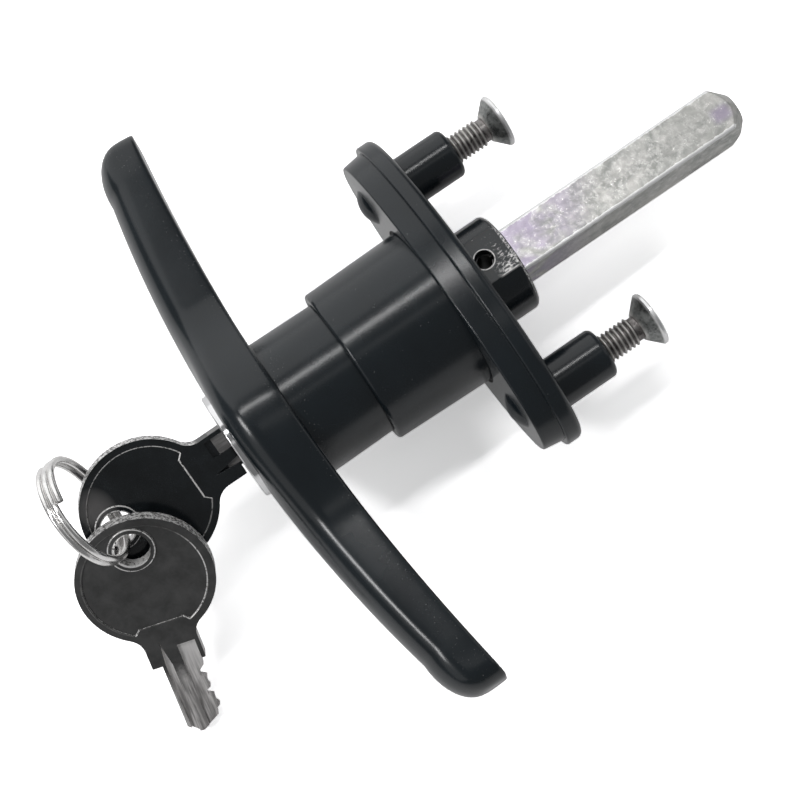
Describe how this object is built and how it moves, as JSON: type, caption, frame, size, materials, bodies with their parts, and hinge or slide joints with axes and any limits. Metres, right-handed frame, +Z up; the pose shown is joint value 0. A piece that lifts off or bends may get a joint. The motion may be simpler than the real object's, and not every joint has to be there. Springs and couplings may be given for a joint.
{
  "type": "t-handle lock",
  "caption": "Black keyed T-handle latch with a collared oval flange, mounting posts with countersunk screws, a square drive shaft, and keys on a split ring.",
  "frame": {"origin": "centre of the oval flange's back face, on the lock axis, midway between the posts", "axes": "+Y along the lock axis from the handle in front to the tip of the square shaft behind the door, +Z up along the T-bar and through both posts as pictured, +X to the side the picture looks from"},
  "size_m": [0.0395, 0.1311, 0.1088],
  "materials": {
    "black_coat": "satin",
    "zinc": "satin",
    "screw_zinc": "satin",
    "bright_plate": "polished",
    "spring_steel": "satin",
    "ring_steel": "polished",
    "die_cast": "matte",
    "brass": "satin",
    "key_black": "satin"
  },
  "bodies": {
    "base": {"base_housing": "black_coat", "mounting_screws": "screw_zinc", "thrust_washer": "screw_zinc", "wave_washer": "spring_steel"},
    "handle": {"handle_casting": "black_coat", "square_shaft": "zinc", "cross_pin": "spring_steel", "retaining_ring": "spring_steel", "lock_bezel": "bright_plate", "lock_shell": "die_cast"},
    "plug": {"lock_plug": "die_cast", "wafer_1": "brass", "wafer_2": "brass", "wafer_3": "brass", "wafer_4": "brass", "wafer_5": "brass", "wafer_springs": "spring_steel", "drive_cam": "zinc", "cam_screw": "screw_zinc"},
    "bolt": {"locking_bolt": "die_cast"},
    "inserted_key": {"key_1": "key_black"},
    "ring": {"split_ring": "ring_steel"},
    "spare_key": {"key_2": "key_black"}
  },
  "joints": [
    {"name": "handle_turn", "type": "hinge", "parent": "base", "child": "handle", "pos_m": [0, 0, 0], "axis": [0, 1, 0], "range_deg": [0, 90]},
    {"name": "key_turn", "type": "hinge", "parent": "handle", "child": "plug", "pos_m": [0, -0.035, 0], "axis": [0, 1, 0], "range_deg": [0, 90]},
    {"name": "bolt_slide", "type": "slide", "parent": "handle", "child": "bolt", "axis": [0, 0, 1], "range_m": [0, 0.0022]},
    {"name": "key_slide", "type": "slide", "parent": "plug", "child": "inserted_key", "axis": [0, -1, 0], "range_m": [0, 0.015]},
    {"name": "ring_swing", "type": "hinge", "parent": "inserted_key", "child": "ring", "pos_m": [-0.00065, -0.06838, -0.00021], "axis": [0.2814, -0.1433, -0.9488], "range_deg": [-15, 5]},
    {"name": "spare_key_swing", "type": "hinge", "parent": "ring", "child": "spare_key", "pos_m": [0.00157, -0.06928, -0.00396], "axis": [0.6873, -0.2486, -0.6825], "range_deg": [-25, 20]}
  ],
  "couplings": [
    {"joint": "bolt_slide", "follows": "key_turn", "m_per_rad": 0.0014}
  ]
}
